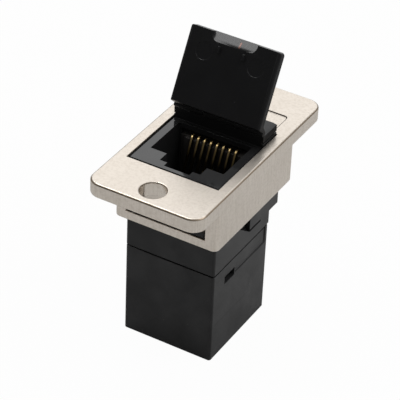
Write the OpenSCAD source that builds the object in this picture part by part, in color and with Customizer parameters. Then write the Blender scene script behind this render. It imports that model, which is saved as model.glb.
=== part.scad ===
// Panel-mount ethernet coupler: a cast flange carries a snap-in coupler with a port at each end.
// The origin is the middle of the flange on its underside, which lies on the panel.
// Z points out of the panel, Y runs along the flange and the dust flap's hinge lies along X.

/* [Flange] */
// Ledge of the flange past the well's sides
flange_ledge = 0.74; // [0.5:0.02:3]
// Thickness of the flange plate
flange_t = 2.3; // [1.8:0.1:3]
// Radius of the flange corners
flange_corner_r = 2.1; // [1.2:0.1:2.6]
// Bevel round the top edge of the flange
flange_bevel = 0.22; // [0.1:0.02:0.3]
// Bevel round the bottom edge of the flange
flange_under_bevel = 0.15; // [0.05:0.05:0.3]
// Diameter of the screw holes
hole_d = 3.8; // [3:0.1:4]
// Gap between the well and the screw holes
hole_gap = 1.49; // [1:0.01:3]
// Flange left past the screw holes
hole_margin = 1.2; // [1:0.05:3]
// Bevel round the top of the screw holes
hole_bevel = 0.12; // [0.05:0.01:0.3]
// Width of the shallow recess behind the hinge
recess_w = 13; // [11:0.1:14]
// Length of the shallow recess behind the hinge
recess_l = 4.7; // [3:0.1:5.4]
// Depth of the shallow recess behind the hinge
recess_depth = 0.15; // [0.1:0.05:0.5]
// Radius of the recess corners
recess_r = 0.5; // [0.3:0.1:1]

/* [Well] */
// Depth of the snap-in well below the flange
well_depth = 7.1; // [6.6:0.1:8]
// Thickness of the well's side and far walls
well_wall = 1; // [0.8:0.05:1.2]
// Thickness of the well's near wall
well_near_wall = 1.5; // [1:0.1:2]
// Radius of the well's upright edges
well_edge_r = 0.9; // [0.5:0.1:1.4]
// Room for the latch behind the coupler
latch_room = 2.88; // [2.7:0.02:3.2]
// Width of the window in the near wall
window_w = 12.8; // [11:0.1:13]
// Height of the bar below the window
window_bar_h = 1.42; // [1.2:0.02:2.4]
// Room above the fixed tab in the window
window_room = 0.4; // [0.2:0.05:1]
// Height of the lip that the latch catches
lip_h = 1.5; // [1.1:0.1:2]
// Reach of the lip into the well
lip_reach = 1.35; // [1.1:0.05:1.5]

/* [Coupler body] */
// Width of the coupler
body_w = 14.5; // [14.2:0.1:14.8]
// Length of the coupler across the ports
body_l = 15.96; // [15.6:0.04:16.4]
// Offset of the coupler's middle from the flange's middle
body_offset = -1.57; // [-2:0.01:-1.2]
// Height of the coupler from port to port
body_h = 29.92; // [29:0.02:32]
// Height of the seam above the coupler's middle
seam_rise = 0.19; // [0:0.01:0.6]
// Set-back of the port face below the flange's top
face_recess = 0.25; // [0.1:0.05:0.4]
// How far the front housing stands out past the rear shell on the latch side
housing_step = 0.31; // [0.1:0.01:0.5]
// Thickness of the side walls beside the contact carriers
side_wall = 1.65; // [1.5:0.05:1.9]
// Radius of the near upright edges
near_edge_r = 0.4; // [0.2:0.05:0.6]
// Bevel of the far upright edges
far_edge_bevel = 0.6; // [0.3:0.05:0.8]
// Bevel of the port face's near edge
face_bevel = 0.4; // [0.2:0.05:0.6]
// Clearance between the coupler and the frame
fit_gap = 0.06; // [0.04:0.01:0.1]

/* [Ports] */
// Width of a port
port_w = 11.7; // [11.6:0.02:12]
// Length of a port, from the latch side to the contact side
port_l = 7.85; // [7.6:0.05:8]
// Distance from the near face to the front port
port_inset = 3.9; // [3.7:0.05:4.1]
// Thickness between a port's floor and the coupler's middle
port_back = 2.51; // [2.2:0.01:3]
// Thickness of the wall round a port's mouth
port_lip = 0.85; // [0.7:0.05:1]
// Width of the wide latch slot
slot_wide_w = 6.4; // [6:0.1:6.8]
// Reach of the wide latch slot
slot_wide_reach = 1.85; // [1.6:0.05:2]
// Width of the narrow latch slot
slot_narrow_w = 4; // [3.6:0.1:4.4]
// Reach of the narrow latch slot past the wide one
slot_narrow_reach = 0.9; // [0.6:0.05:1.1]

/* [Contacts] */
// Distance between contacts
contact_pitch = 1.02; // [0.98:0.01:1.04]
// Width of a contact wire
wire_w = 0.4; // [0.3:0.02:0.5]
// Thickness of a contact wire
wire_t = 0.34; // [0.26:0.02:0.4]
// Radius of the bend at the mouth, to the middle of the wire
bend_r = 0.45; // [0.4:0.01:0.55]
// Depth of the bend below the port face
bend_depth = 1.95; // [1.8:0.05:2.2]
// Slope of the sprung leg from the port's axis
leg_slope = 24; // [18:1:26]
// Length of the sprung leg
leg_l = 7; // [6:0.1:7.2]
// Distance from the port's wall to the fixed legs
leg_inset = 0.4; // [0.36:0.02:0.5]
// Thickness of the carrier's noses
nose_t = 1.2; // [1.1:0.05:1.4]
// Clearance round the carriers and the wires
carrier_gap = 0.04; // [0.02:0.01:0.06]
// Width of the comb's ribs between the contacts
comb_w = 0.42; // [0.3:0.02:0.46]
// Width of the comb's end ribs
comb_end_w = 0.95; // [0.6:0.05:1.1]
// Reach of the comb into the port
comb_reach = 0.5; // [0.3:0.05:0.7]
// Length of the comb below the bends
comb_l = 4; // [3:0.1:5]
// Thickness of the circuit board between the carriers
board_t = 1.2; // [1:0.1:1.6]
// Diameter of the board's solder holes
board_hole_d = 0.64; // [0.6:0.02:0.7]

/* [Latch] */
// Height of the thumb bar
thumb_h = 3.45; // [3:0.05:3.8]
// Reach of the thumb bar past the far face
thumb_reach = 1.88; // [1.6:0.02:2.2]
// Start of the latch arms, measured from the coupler's far face
arm_l = 6; // [5:0.1:6.4]
// Depth of the side pockets round the latch arms
pocket_depth = 0.8; // [0.5:0.05:0.9]
// Length of the sloping pocket in front of each arm
pocket_l = 2.9; // [2:0.1:3.4]
// Rise of the sloping pocket's floor
pocket_rise = 1.85; // [1.4:0.05:2.2]
// Height of the slit under each arm
slit_h = 0.3; // [0.2:0.05:0.4]
// Length of the slit under each arm
slit_l = 3.2; // [2:0.1:4]
// Width of the latch finger
finger_w = 9; // [7:0.1:10]
// Thickness of the latch finger
finger_t = 0.9; // [0.7:0.05:1]
// Gap between the latch finger and the housing
finger_gap = 0.35; // [0.25:0.05:0.4]
// Reach of the hook over the lip
hook_reach = 0.8; // [0.6:0.05:0.9]
// Height of the hook
hook_h = 1.3; // [1:0.1:1.6]
// Gap at each end of the fixed tab in the window
tab_gap = 0.3; // [0.1:0.05:0.6]
// Reach of the fixed tab
tab_reach = 1.35; // [1:0.05:1.45]
// Height of the fixed tab
tab_h = 1.8; // [1.4:0.1:2.4]
// Clearance of the latch and the tab from the frame
latch_gap = 0.08; // [0.05:0.01:0.15]

/* [Snap joint] */
// Height of the shadow groove at the seam
seam_h = 0.22; // [0.1:0.02:0.3]
// Depth of the shadow groove at the seam
seam_depth = 0.25; // [0.1:0.05:0.35]
// Width of a snap tongue
tongue_w = 2.6; // [2:0.1:3]
// Wall left outside a snap tongue
tongue_skin = 0.6; // [0.5:0.05:0.8]
// Length of a snap tongue below the seam
tongue_l = 3.2; // [2.8:0.1:3.6]
// Distance from the near face to a snap tongue
tongue_inset = 3.35; // [2.6:0.05:3.6]
// Reach of the barb
barb_reach = 0.42; // [0.3:0.02:0.5]
// Distance from the seam to the snap window
snap_drop = 1.98; // [1.6:0.02:2.2]
// Height of the snap window
snap_h = 1.3; // [1:0.05:1.4]
// Clearance round the snap tongue
snap_gap = 0.08; // [0.05:0.01:0.12]
// Length of the recessed strip in the rear shell's sides
strip_l = 8.55; // [6:0.05:9]
// Distance from the far face to the recessed strip
strip_inset = 1.15; // [0.7:0.05:1.4]
// Height of the recessed strip
strip_h = 3.08; // [2:0.02:4]
// Depth of the recessed strip
strip_depth = 0.15; // [0.05:0.05:0.25]

/* [Hinge] */
// Height of the hinge block above the port face
block_h = 1.95; // [1.8:0.05:2.1]
// Ledge between the port and the hinge block
block_ledge = 0.6; // [0.5:0.05:0.8]
// Length of the sloping ends of the block's top
block_end_l = 0.6; // [0.3:0.1:0.8]
// Drop of the sloping ends of the block's top
block_end_drop = 0.12; // [0.05:0.01:0.2]
// Height of the groove round the block above the port face
groove_rise = 0.6; // [0.5:0.05:0.7]
// Height of the groove
groove_h = 0.2; // [0.1:0.05:0.25]
// Depth of the groove
groove_depth = 0.25; // [0.1:0.05:0.3]
// Distance from the block's front to the hinge axis
axis_inset = 0.15; // [0.12:0.01:0.2]
// Height of the hinge axis above the block
axis_rise = 0.3; // [0.28:0.01:0.36]
// Radius of the knuckles
knuckle_r = 0.42; // [0.4:0.01:0.46]
// Length of the middle knuckle
knuckle_mid_l = 5; // [4:0.1:6]
// Clearance round the knuckles
knuckle_gap = 0.08; // [0.06:0.01:0.1]
// Diameter of the hinge pin
pin_d = 0.44; // [0.4:0.02:0.48]
// Wall left at the closed ends of the pin's bore
bore_end = 0.5; // [0.3:0.05:0.8]
// Clearance round the hinge pin
pin_gap = 0.03; // [0.02:0.01:0.05]

/* [Dust flap] */
// Set-back of the flap's sides from the coupler's sides
flap_inset = 0.05; // [0.05:0.05:0.4]
// Length of the flap's inner face
flap_l = 11.06; // [10.7:0.02:11.3]
// Thickness of the flap
flap_t = 1.4; // [1.2:0.05:1.45]
// Radius of the flap's side edges on its inner face
flap_edge_r = 0.5; // [0.3:0.05:0.7]
// Radius of the flap's free corners
flap_corner_r = 0.5; // [0.3:0.1:0.9]
// Angle from closed to open
open_angle = 118.5; // [95:0.5:120]
// Gap between the closed flap and the port face
flap_gap = 0.05; // [0.03:0.01:0.1]
// Gap between the closed flap and the hinge block
flap_end_gap = 0.08; // [0.06:0.01:0.12]
// Slope of the flap's hinge end, as its lean across the flap
flap_end_lean = 0.39; // [0.2:0.01:0.5]
// Length of the flap that each knuckle's arm holds
arm_foot = 1; // [0.7:0.05:1.2]
// Width of the finger scoop
scoop_w = 7.1; // [5:0.1:8]
// Height of the finger scoop
scoop_h = 1.35; // [1:0.05:1.8]
// Depth of the finger scoop at the free edge
scoop_depth = 0.9; // [0.5:0.05:0.95]
// Corner radius of the finger scoop
scoop_r = 1; // [0.4:0.1:1.2]
// Distance between the catch ribs
rib_spacing = 3.9; // [3:0.1:4.6]
// Distance from the hinge end to the catch ribs
rib_at = 8.8; // [8.6:0.05:9]
// Length of a catch rib
rib_l = 0.9; // [0.6:0.05:1]
// Width of a catch rib
rib_w = 0.3; // [0.2:0.05:0.4]
// Height of a catch rib
rib_h = 0.35; // [0.2:0.05:0.5]
// Distance between the moulding marks
mark_spacing = 8.3; // [7:0.1:9]
// Distance from the hinge end to the moulding marks
mark_at = 8; // [6.5:0.1:8.5]
// Diameter of the moulding marks
mark_d = 2.6; // [2:0.1:3]
// Depth of the moulding marks
mark_depth = 0.05; // [0.04:0.01:0.1]
// Width of each stop heel
heel_w = 2.4; // [1.6:0.1:3.6]
// Length of a stop heel behind the hinge axis
heel_l = 1.5; // [1.2:0.1:2]
// Thickness of a stop heel
heel_t = 0.5; // [0.4:0.05:0.6]
// Gap between the heel and the block when the flap stands open
heel_gap = 0.05; // [0.03:0.01:0.1]

/* [Hidden] */
$fn = 48;
// Amount by which a cut runs past the face it opens
past = 0.5;
contact_count = 8;
front_contacts = [for (i = [1:contact_count]) str("front_contact_", i)];
rear_contacts = [for (i = [1:contact_count]) str("rear_contact_", i)];

nickel = "#b7b0a4";
black = "#1c1c1e";
gold = "#c8a04a";
board_green = "#1d4f38";
steel = "#8d8d8f";

// Coupler
face_z = flange_t - face_recess;
rear_z = face_z - body_h;
mid_z = (face_z + rear_z) / 2;
seam_z = mid_z + seam_rise;
front_h = face_z - seam_z;
mid_y = body_offset;
near_y = mid_y - body_l / 2;
far_y = mid_y + body_l / 2;
front_far_y = far_y + housing_step;
side_x = body_w / 2;
carrier_w = body_w - 2 * side_wall;
flap_w = body_w - 2 * flap_inset;

// Well
bay_x = side_x + fit_gap;
bay_near_y = near_y - fit_gap;
opening_far_y = front_far_y + fit_gap;
bay_far_y = front_far_y + latch_room;
well_x = bay_x + well_wall;
well_near_y = bay_near_y - well_near_wall;
well_far_y = bay_far_y + well_wall;
bar_top_z = window_bar_h - well_depth;
tab_z = bar_top_z + latch_gap;
window_top_z = tab_z + tab_h + window_room;
tab_w = window_w - 2 * tab_gap;
lip_top_z = lip_h - well_depth;

// Flange round the well
flange_w = 2 * (well_x + flange_ledge);
hole_y = max(-well_near_y, well_far_y) + hole_gap + hole_d / 2;
flange_l = 2 * (hole_y + hole_d / 2 + hole_margin);

// Ports
port_near_y = near_y + port_inset;
port_far_y = port_near_y + port_l;
floor_z = mid_z + port_back;
port_depth = face_z - floor_z;
nose_far_y = port_far_y + nose_t;
pocket_top_z = face_z - port_lip;
bend_z = face_z - bend_depth;
fixed_leg_y = port_far_y + leg_inset;
bend_y = fixed_leg_y - bend_r;
board_top_z = mid_z + board_t / 2;

// Latch
thumb_top_z = -well_depth - latch_gap;
thumb_z = thumb_top_z - thumb_h;
arm_y = far_y - arm_l;
finger_y = front_far_y + finger_gap;
hook_z = lip_top_z + latch_gap;

// Snap joint
tongue_y = near_y + tongue_inset;
tongue_x = carrier_w / 2 + carrier_gap + snap_gap;
tongue_t = side_x - tongue_skin - snap_gap - tongue_x;
snap_z = seam_z - snap_drop;

// Hinge
block_y = port_far_y + block_ledge;
block_z = face_z + block_h;
axis_y = block_y + axis_inset;
axis_z = block_z + axis_rise;
knuckle_x = knuckle_mid_l / 2 + knuckle_gap;
knuckle_end_l = flap_w / 2 - knuckle_x;
pin_l = 2 * (flap_w / 2 - bore_end);

// Where the outer knuckles' arms meet their round, with the flap closed
arm_low_angle = 235;
arm_high_angle = 130;

// Flap in its closed place
flap_end_y = block_y - flap_end_gap;
flap_foot_y = flap_end_y - flap_end_lean;
flap_free_y = flap_foot_y - flap_l;
flap_in_z = face_z + flap_gap;
flap_out_z = flap_in_z + flap_t;

// Turns a drawing in Y and Z into a solid that is centred on X
module along_x(length) {
    rotate([90, 0, 90])
        linear_extrude(length, center = true)
            children();
}

// Turns a drawing in X and Z into a solid that runs from one Y to another
module along_y(from, to) {
    translate([0, to, 0])
        rotate([90, 0, 0])
            linear_extrude(to - from)
                children();
}

// Box from one corner to the opposite one
module box(from, to) {
    translate(from)
        cube(to - from);
}

// Turns a front-port form half round, into the rear port's place
module at_rear() {
    translate([0, 2 * mid_y, 2 * mid_z])
        rotate([180, 0, 0])
            children();
}

// Rectangle with round corners, from one corner to the opposite one
module round_box(from, to, r) {
    translate([from[0] + r, from[1]])
        square([to[0] - from[0] - 2 * r, to[1] - from[1]]);
    translate([from[0], from[1] + r])
        square([to[0] - from[0], to[1] - from[1] - 2 * r]);
    for (x = [from[0] + r, to[0] - r], y = [from[1] + r, to[1] - r])
        translate([x, y])
            circle(r);
}

// Section across a bevelled slab
function slab_section(half, t, top, under) = [
    [-half + under, 0], [half - under, 0], [half, under],
    [half, t - top], [half - top, t], [-half + top, t], [-half, t - top], [-half, under]];

// Section of a bevelled slab's round corner, from its middle out
function corner_section(r, t, top, under) = [
    [0, 0], [r - under, 0], [r, under], [r, t - top], [r - top, t], [0, t]];

// Slab with round corners and bevelled edges, lying on z = 0
module bevelled_slab(w, l, t, r, top, under) {
    along_y(-l / 2 + r, l / 2 - r)
        polygon(slab_section(w / 2, t, top, under));
    along_x(w - 2 * r)
        polygon(slab_section(l / 2, t, top, under));
    for (x = [-1, 1], y = [-1, 1])
        translate([x * (w / 2 - r), y * (l / 2 - r), 0])
            rotate_extrude()
                polygon(corner_section(r, t, top, under));
}

// Flange, well and screw holes
module metal_frame() {
    color(nickel)
        difference() {
            union() {
                bevelled_slab(
                    flange_w, flange_l, flange_t, flange_corner_r, flange_bevel, flange_under_bevel);
                translate([0, 0, -well_depth])
                    linear_extrude(well_depth + flange_t / 2)
                        round_box([-well_x, well_near_y], [well_x, well_far_y], well_edge_r);
            }
            frame_opening();
            frame_bay();
            frame_window();
            hinge_recess();
            for (y = [-hole_y, hole_y])
                translate([0, y, 0])
                    screw_hole();
        }
}

// Screw hole with its bevelled rim
module screw_hole() {
    translate([0, 0, -past])
        cylinder(h = flange_t + 2 * past, d = hole_d);
    translate([0, 0, flange_t - hole_bevel])
        cylinder(h = 2 * hole_bevel, d1 = hole_d, d2 = hole_d + 4 * hole_bevel);
}

// Hole through the flange for the coupler's face
module frame_opening() {
    box([-bay_x, bay_near_y, -past], [bay_x, opening_far_y, flange_t + past]);
}

// Inside of the well, with the lip left standing at its far end
module frame_bay() {
    difference() {
        box([-bay_x, bay_near_y, -well_depth - past], [bay_x, bay_far_y, 0]);
        box([-bay_x - past, bay_far_y - lip_reach, -well_depth - 2 * past],
            [bay_x + past, bay_far_y + past, lip_top_z]);
    }
}

// Window in the near wall, above the bar
module frame_window() {
    box([-window_w / 2, well_near_y - past, bar_top_z], [window_w / 2, bay_near_y + past, window_top_z]);
}

// Shallow recess in the flange's top behind the hinge
module hinge_recess() {
    translate([0, 0, flange_t - recess_depth])
        linear_extrude(recess_depth + past)
            round_box([-recess_w / 2, opening_far_y - 2 * recess_r],
                [recess_w / 2, opening_far_y + recess_l], recess_r);
}

// Outline of a coupler half: round near edges and bevelled far edges
module body_outline(half_w, y_near, y_far) {
    polygon([
        [-half_w + near_edge_r, y_near], [half_w - near_edge_r, y_near],
        [half_w, y_near + near_edge_r], [half_w, y_far - far_edge_bevel],
        [half_w - far_edge_bevel, y_far], [-half_w + far_edge_bevel, y_far],
        [-half_w, y_far - far_edge_bevel], [-half_w, y_near + near_edge_r]]);
    for (x = [-half_w + near_edge_r, half_w - near_edge_r])
        translate([x, y_near + near_edge_r])
            circle(near_edge_r);
}

// Outline of a port with its two latch slots
module port_outline() {
    translate([-port_w / 2, port_near_y])
        square([port_w, port_l]);
    translate([-slot_wide_w / 2, port_near_y - slot_wide_reach])
        square([slot_wide_w, slot_wide_reach + past]);
    translate([-slot_narrow_w / 2, port_near_y - slot_wide_reach - slot_narrow_reach])
        square([slot_narrow_w, slot_narrow_reach + past]);
}

// Space inside the front half: the port, the nose's pocket and the carrier's seat
module front_cavity() {
    room_x = carrier_w / 2 + carrier_gap;
    room_far_y = nose_far_y + carrier_gap;
    translate([0, 0, floor_z])
        linear_extrude(port_depth + past)
            port_outline();
    box([-room_x, port_far_y - past, floor_z - past], [room_x, room_far_y, pocket_top_z]);
    box([-room_x, 2 * mid_y - room_far_y, 2 * mid_z - floor_z], [room_x, room_far_y, floor_z]);
}

// Upper half of the coupler
module front_housing() {
    color(black)
        difference() {
            union() {
                difference() {
                    translate([0, 0, seam_z])
                        linear_extrude(front_h)
                            body_outline(side_x, near_y, front_far_y);
                    seam_bevel();
                    face_edge();
                    for (side = [0, 1])
                        mirror([side, 0, 0])
                            latch_pocket();
                }
                thumb_bar();
                latch_finger();
                fixed_tab();
                hinge_block();
                for (side = [0, 1])
                    mirror([side, 0, 0])
                        snap_tongue();
            }
            front_cavity();
            knuckle_trough();
            along_x(pin_l)
                translate([axis_y, axis_z])
                    circle(d = pin_d + 2 * pin_gap);
        }
}

// Slope that brings the front housing's far face down to the rear shell
module seam_bevel() {
    along_x(body_w + 2 * past)
        polygon([
            [far_y, seam_z - past], [far_y, seam_z], [front_far_y, seam_z + housing_step],
            [front_far_y + past, seam_z + housing_step], [front_far_y + past, seam_z - past]]);
}

// Bevel along the port face's near edge
module face_edge() {
    along_x(body_w + 2 * past)
        polygon([
            [near_y - past, face_z + past], [near_y - past, face_z - face_bevel - past],
            [near_y + face_bevel + past, face_z + past]]);
}

// Sloping pocket in front of a latch arm, and the slit under the arm
module latch_pocket() {
    translate([side_x - pocket_depth / 2 + past / 2, 0, 0])
        along_x(pocket_depth + past)
            polygon([
                [arm_y - pocket_l, lip_top_z], [arm_y - pocket_l, thumb_z + pocket_rise],
                [arm_y, thumb_z - slit_h], [arm_y + slit_l, thumb_z - slit_h],
                [arm_y + slit_l, thumb_z], [arm_y, thumb_z], [arm_y, lip_top_z]]);
}

// Bar across the far face that the thumb presses
module thumb_bar() {
    box([-side_x, far_y - far_edge_bevel, thumb_z], [side_x, front_far_y + thumb_reach, thumb_top_z]);
}

// Sprung finger with the hook that catches the frame's lip
module latch_finger() {
    along_x(finger_w)
        polygon([
            [finger_y, thumb_top_z - past], [finger_y + finger_t, thumb_top_z - past],
            [finger_y + finger_t, hook_z], [finger_y + finger_t + hook_reach, hook_z],
            [finger_y + finger_t, hook_z + hook_h], [finger_y, hook_z + hook_h]]);
}

// Fixed tab that reaches through the frame's window
module fixed_tab() {
    along_x(tab_w)
        polygon([
            [near_y - tab_reach, tab_z], [near_y + past, tab_z], [near_y + past, tab_z + tab_h],
            [near_y, tab_z + tab_h], [near_y - tab_reach, tab_z + tab_h / 2]]);
}

// Block behind the port that carries the hinge's middle knuckle
module hinge_block() {
    difference() {
        along_y(block_y, front_far_y)
            polygon([
                [-side_x, face_z - past], [side_x, face_z - past], [side_x, block_z - block_end_drop],
                [side_x - block_end_l, block_z], [-side_x + block_end_l, block_z],
                [-side_x, block_z - block_end_drop]]);
        difference() {
            box([-side_x - past, block_y, face_z + groove_rise],
                [side_x + past, front_far_y + past, face_z + groove_rise + groove_h]);
            box([-side_x + groove_depth, block_y - past, face_z],
                [side_x - groove_depth, front_far_y - groove_depth, block_z]);
        }
    }
    along_x(knuckle_mid_l) {
        translate([axis_y, axis_z])
            circle(knuckle_r);
        translate([block_y, block_z - past])
            square([axis_y + knuckle_r - block_y, axis_z - block_z + past]);
    }
}

// Trough in the hinge block that lets the outer knuckles turn
module knuckle_trough() {
    room = side_x + past - knuckle_mid_l / 2;
    for (side = [-1, 1])
        translate([side * (knuckle_mid_l / 2 + room / 2), axis_y, axis_z])
            rotate([0, 90, 0])
                cylinder(h = room, r = knuckle_r + knuckle_gap, center = true);
}

// Tongue that reaches down into the rear shell, with its barb
module snap_tongue() {
    barb_top = snap_z - snap_gap;
    barb_bottom = snap_z - snap_h + snap_gap;
    box([tongue_x, tongue_y, seam_z - tongue_l], [tongue_x + tongue_t, tongue_y + tongue_w, seam_z + past]);
    along_y(tongue_y, tongue_y + tongue_w)
        polygon([
            [tongue_x, barb_top], [tongue_x + tongue_t + barb_reach, barb_top],
            [tongue_x + tongue_t, barb_bottom], [tongue_x, barb_bottom]]);
}

// Lower half of the coupler
module rear_shell() {
    color(black)
        difference() {
            translate([0, 0, rear_z]) {
                linear_extrude(seam_z - seam_h - rear_z)
                    body_outline(side_x, near_y, far_y);
                linear_extrude(seam_z - rear_z)
                    body_outline(side_x - seam_depth, near_y + seam_depth, far_y - seam_depth);
            }
            at_rear()
                front_cavity();
            for (side = [0, 1])
                mirror([side, 0, 0]) {
                    snap_pocket();
                    side_strip();
                }
        }
}

// Pocket for a snap tongue, with its window in the shell's side
module snap_pocket() {
    y_from = tongue_y - snap_gap;
    y_to = tongue_y + tongue_w + snap_gap;
    box([carrier_w / 2, y_from, seam_z - tongue_l - snap_gap],
        [tongue_x + tongue_t + snap_gap, y_to, seam_z + past]);
    box([tongue_x, y_from, snap_z - snap_h], [side_x + past, y_to, snap_z]);
}

// Shallow strip in the shell's side next to the seam, with a sloping lower edge
module side_strip() {
    strip_x = side_x - strip_depth;
    strip_y = far_y - strip_inset;
    strip_z = seam_z - strip_h;
    along_y(strip_y - strip_l, strip_y)
        polygon([
            [strip_x, seam_z + past], [strip_x, strip_z + strip_depth],
            [side_x + past, strip_z - past], [side_x + past, seam_z + past]]);
}

// Straight stretch of wire between two points, with round ends
module wire_run(from, to, t) {
    step = to - from;
    translate(from)
        rotate(atan2(step[1], step[0]))
            translate([0, -t / 2])
                square([norm(step), t]);
    for (end = [from, to])
        translate(end)
            circle(d = t);
}

// Contact drawn in Y and Z: sprung leg, bend and the fixed leg down through the board
module wire_outline(t) {
    leg_start = [bend_y, bend_z] + bend_r * [-cos(leg_slope), sin(leg_slope)];
    leg_end = leg_start + leg_l * [-sin(leg_slope), -cos(leg_slope)];
    wire_run(leg_start, leg_end, t);
    translate([bend_y, bend_z])
        difference() {
            circle(bend_r + t / 2);
            circle(bend_r - t / 2);
            rotate(180 - leg_slope)
                square(2 * bend_r);
            translate([-bend_r, -2 * bend_r])
                square([3 * bend_r, 2 * bend_r]);
        }
    translate([fixed_leg_y - t / 2, board_top_z - board_t])
        square([t, bend_z - board_top_z + board_t]);
}

function contact_x(i) = (i - (contact_count + 1) / 2) * contact_pitch;

// One sprung contact of the front port
module contact(i) {
    color(gold)
        translate([contact_x(i), 0, 0])
            along_x(wire_w)
                wire_outline(wire_t);
}

// Comb that keeps the contacts apart, with wider ribs at its ends
module contact_comb() {
    end_x = contact_x(contact_count) + (contact_pitch - comb_w) / 2;
    from = [port_far_y - comb_reach, bend_z - comb_l];
    to = [port_far_y + nose_t / 2, bend_z];
    for (i = [1:contact_count - 1])
        translate([contact_x(i) + contact_pitch / 2, 0, 0])
            box([-comb_w / 2, from[0], from[1]], [comb_w / 2, to[0], to[1]]);
    for (x = [-end_x - comb_end_w, end_x])
        box([x, from[0], from[1]], [x + comb_end_w, to[0], to[1]]);
}

// Insert that holds the front port's contacts: a base on the board and a nose up to the bends
module carrier() {
    color(black)
        difference() {
            union() {
                box([-carrier_w / 2, port_far_y, board_top_z], [carrier_w / 2, nose_far_y, bend_z]);
                contact_comb();
                box([-carrier_w / 2, 2 * mid_y - nose_far_y, board_top_z],
                    [carrier_w / 2, nose_far_y, floor_z - carrier_gap]);
            }
            for (i = [1:contact_count])
                translate([contact_x(i), 0, 0])
                    along_x(wire_w + 2 * carrier_gap)
                        wire_outline(wire_t + 2 * carrier_gap);
        }
}

// Board that joins the two ports' contacts
module circuit_board() {
    color(board_green)
        difference() {
            box([-carrier_w / 2, 2 * mid_y - nose_far_y, board_top_z - board_t],
                [carrier_w / 2, nose_far_y, board_top_z]);
            for (i = [1:contact_count], y = [fixed_leg_y, 2 * mid_y - fixed_leg_y])
                translate([contact_x(i), y, board_top_z - board_t - past])
                    cylinder(h = board_t + 2 * past, d = board_hole_d);
        }
}

// Turns the closed flap about the hinge to where it stands open
module stand_open() {
    translate([0, axis_y, axis_z])
        rotate([-open_angle, 0, 0])
            translate([0, -axis_y, -axis_z])
                children();
}

// Hinged cover, standing open
module dust_flap() {
    color(black)
        difference() {
            union() {
                stand_open() {
                    flap_plate();
                    flap_ribs();
                    for (side = [-1, 1])
                        translate([side * (knuckle_x + knuckle_end_l / 2), 0, 0])
                            along_x(knuckle_end_l)
                                knuckle_outline();
                }
                for (side = [-1, 1])
                    translate([side * (knuckle_x + heel_w / 2), axis_y, block_z + heel_gap])
                        along_x(heel_w)
                            square([heel_l, heel_t]);
            }
            along_x(pin_l + 2 * pin_gap)
                translate([axis_y, axis_z])
                    circle(d = pin_d + 2 * pin_gap);
        }
}

// Outline of the flap, with round corners at its free end
module flap_outline() {
    round_box([-flap_w / 2, flap_free_y], [flap_w / 2, flap_end_y], flap_corner_r);
    translate([-flap_w / 2, flap_end_y - 2 * flap_corner_r])
        square([flap_w, 2 * flap_corner_r]);
}

// Section across the flap, with round edges on its inner face
module flap_section() {
    round_box([-flap_w / 2, flap_in_z], [flap_w / 2, flap_out_z], flap_edge_r);
    translate([-flap_w / 2, flap_in_z + flap_edge_r])
        square([flap_w, flap_t - flap_edge_r]);
}

// Plate of the flap in its closed place, with its sloping hinge end, scoop and moulding marks
module flap_plate() {
    difference() {
        intersection() {
            translate([0, 0, flap_in_z])
                linear_extrude(flap_t)
                    flap_outline();
            along_y(flap_free_y, flap_end_y)
                flap_section();
        }
        along_x(flap_w + 2 * past)
            polygon([
                [flap_foot_y - flap_end_lean, flap_in_z - flap_t],
                [flap_end_y + flap_end_lean, flap_out_z + flap_t],
                [flap_end_y + flap_t, flap_in_z - flap_t]]);
        finger_scoop();
        for (x = [-mark_spacing / 2, mark_spacing / 2])
            translate([x, flap_foot_y - mark_at, flap_in_z - past])
                cylinder(h = past + mark_depth, d = mark_d);
    }
}

// Sloping scoop in the middle of the free edge, on the inner face
module finger_scoop() {
    slope = atan2(scoop_depth, scoop_h);
    rise = 2 * norm([scoop_h, scoop_depth]);
    translate([0, flap_free_y + scoop_h, flap_in_z])
        rotate([-slope, 0, 0])
            translate([0, 0, -rise])
                linear_extrude(rise)
                    round_box([-scoop_w / 2, -rise], [scoop_w / 2, 0], scoop_r);
}

// Two small ribs on the inner face that hold the flap shut in the latch slot
module flap_ribs() {
    for (x = [-rib_spacing / 2, rib_spacing / 2])
        translate([x - rib_w / 2, flap_foot_y - rib_at - rib_l / 2, flap_in_z - rib_h])
            cube([rib_w, rib_l, rib_h + flap_t / 2]);
}

// Outer knuckle and its arm, drawn in Y and Z with the flap closed
module knuckle_outline() {
    axis = [axis_y, axis_z];
    arm_low = axis + knuckle_r * [cos(arm_low_angle), sin(arm_low_angle)];
    arm_high = axis + knuckle_r * [cos(arm_high_angle), sin(arm_high_angle)];
    translate(axis)
        circle(knuckle_r);
    polygon([
        [flap_end_y - arm_foot, flap_out_z - flap_t / 4], [flap_end_y, flap_out_z],
        arm_low, axis, arm_high]);
}

// Pin through the knuckles
module hinge_pin() {
    color(steel)
        along_x(pin_l)
            translate([axis_y, axis_z])
                circle(d = pin_d);
}

metal_frame();
front_housing();
rear_shell();
dust_flap();
hinge_pin();
carrier();  // front_carrier
at_rear() carrier();  // rear_carrier
circuit_board();
for (i = [1:contact_count]) {
    contact(i);
    at_rear() contact(i);
}
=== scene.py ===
"""Looks of a panel-mount ethernet coupler: satin nickel flange, black mouldings, gold-plated contacts."""
import logging
import math
from dataclasses import astuple, dataclass
from enum import Enum
from typing import ClassVar, Optional, Union

import bpy
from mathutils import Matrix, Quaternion, Vector


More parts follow.
